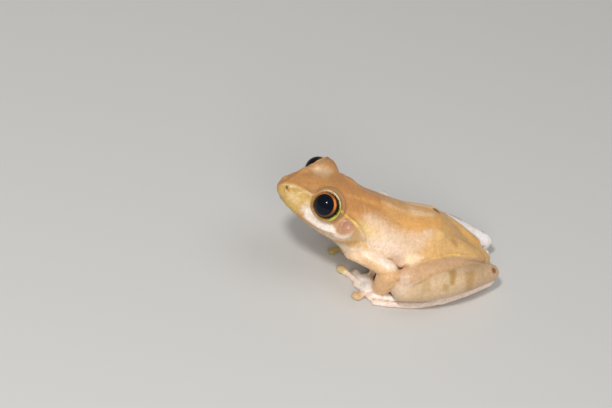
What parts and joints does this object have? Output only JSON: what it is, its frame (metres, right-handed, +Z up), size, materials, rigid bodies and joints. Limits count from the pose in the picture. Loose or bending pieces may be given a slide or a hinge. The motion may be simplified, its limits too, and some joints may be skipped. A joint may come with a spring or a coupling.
{
  "type": "bright-eyed tree frog",
  "caption": "Small slender tree frog sitting still with folded legs, large round eyes and spread fingers, a life-size display model.",
  "frame": {"origin": "on the floor, under the middle of the frog's box", "axes": "+Z up, +Y from the snout towards the vent, so the frog faces -Y, and +X towards its left side"},
  "size_m": [0.0216, 0.039, 0.0191],
  "materials": {
    "back_skin": "moist, finely granular skin, orange tan with faint darker bands",
    "belly_skin": "moist, smooth skin, cream with a yellow edge",
    "limb_skin": "moist, smooth skin, pinkish tan with faint greenish brown bars",
    "digit_skin": "moist, smooth skin, cream with peach end discs",
    "eye": "wet gloss, blue-black round pupil in an orange brown iris"
  },
  "bodies": {
    "root": {"head": "back_skin", "lower_jaw": "belly_skin", "torso": "back_skin", "eye_left": "eye", "eye_right": "eye", "upper_arm_left": "limb_skin", "upper_arm_right": "limb_skin", "forearm_left": "limb_skin", "forearm_right": "limb_skin", "hand_left": "digit_skin", "hand_right": "digit_skin", "thigh_left": "limb_skin", "thigh_right": "limb_skin", "shank_left": "limb_skin", "shank_right": "limb_skin", "tarsus_left": "limb_skin", "tarsus_right": "limb_skin", "foot_left": "digit_skin", "foot_right": "digit_skin"}
  },
  "joints": []
}
